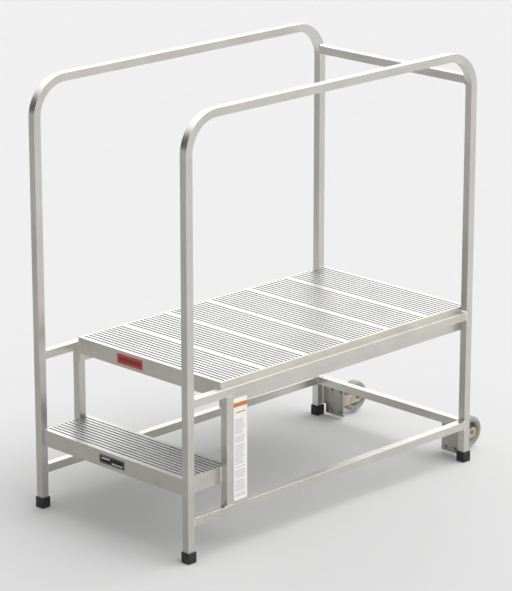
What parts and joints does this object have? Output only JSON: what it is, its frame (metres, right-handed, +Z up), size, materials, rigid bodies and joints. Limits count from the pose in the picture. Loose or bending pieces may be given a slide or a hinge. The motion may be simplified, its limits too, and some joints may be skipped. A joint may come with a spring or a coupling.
{
  "type": "rolling work platform",
  "caption": "Low aluminium work platform with a ribbed deck, a front step, square-tube guardrail hoops and tilt-to-roll rear casters.",
  "frame": {"origin": "on the floor, under the middle of the platform's outline from the front feet to the back of the wheels", "axes": "+Z up; -Y is the side with the step, where a person climbs on; +Y is the wheel side; +X is the side with the tall label, on the right of a person facing the step"},
  "size_m": [0.6676, 1.3658, 1.324],
  "materials": {
    "frame_aluminium": "mill finish, welded, slightly dull",
    "deck_aluminium": "mill finish extrusion, ribbed lengthwise",
    "rubber_feet": "matte moulded rubber",
    "zinc_steel": "zinc plated pressings and fasteners",
    "wheel_plastic": "moulded wheel centre",
    "tyre": "light grey moulded tread, non-marking",
    "label_film": "white film label with coloured bands",
    "nameplate": "black nameplate"
  },
  "bodies": {
    "root": {"axle_bolt_left": "zinc_steel", "axle_bolt_right": "zinc_steel", "axle_nut_left": "zinc_steel", "axle_nut_right": "zinc_steel", "axle_sleeve_left": "zinc_steel", "axle_sleeve_right": "zinc_steel", "caster_bolts_left": "zinc_steel", "caster_bolts_right": "zinc_steel", "caster_fork_left": "zinc_steel", "caster_fork_right": "zinc_steel", "caster_mount_left": "frame_aluminium", "caster_mount_right": "frame_aluminium", "caster_nuts_left": "zinc_steel", "caster_nuts_right": "zinc_steel", "deck_beam_left": "frame_aluminium", "deck_beam_right": "frame_aluminium", "deck_face_front": "frame_aluminium", "deck_face_rear": "frame_aluminium", "deck_label": "label_film", "deck_plank_1": "deck_aluminium", "deck_plank_2": "deck_aluminium", "deck_plank_3": "deck_aluminium", "deck_plank_4": "deck_aluminium", "deck_plank_5": "deck_aluminium", "deck_plank_6": "deck_aluminium", "deck_rail_left": "frame_aluminium", "deck_rail_right": "frame_aluminium", "foot_front_left": "rubber_feet", "foot_front_right": "rubber_feet", "foot_rear_left": "rubber_feet", "foot_rear_right": "rubber_feet", "hoop_left": "frame_aluminium", "hoop_right": "frame_aluminium", "label_plate": "frame_aluminium", "lower_rail_left": "frame_aluminium", "lower_rail_rear": "frame_aluminium", "lower_rail_right": "frame_aluminium", "middle_post_left": "frame_aluminium", "middle_post_right": "frame_aluminium", "side_label": "label_film", "step_beam_left": "frame_aluminium", "step_beam_right": "frame_aluminium", "step_face_front": "frame_aluminium", "step_nameplate": "nameplate", "step_plank": "deck_aluminium", "top_rail_rear": "frame_aluminium"},
    "wheel_left": {"wheel_hub_left": "wheel_plastic", "tyre_left": "tyre"},
    "wheel_right": {"wheel_hub_right": "wheel_plastic", "tyre_right": "tyre"}
  },
  "joints": [
    {"name": "wheel_left_spin", "type": "hinge", "parent": "root", "child": "wheel_left", "pos_m": [-0.2489, 0.63206, 0.0575], "axis": [1, 0, 0], "continuous": true},
    {"name": "wheel_right_spin", "type": "hinge", "parent": "root", "child": "wheel_right", "pos_m": [0.2489, 0.63206, 0.0575], "axis": [1, 0, 0], "continuous": true}
  ]
}
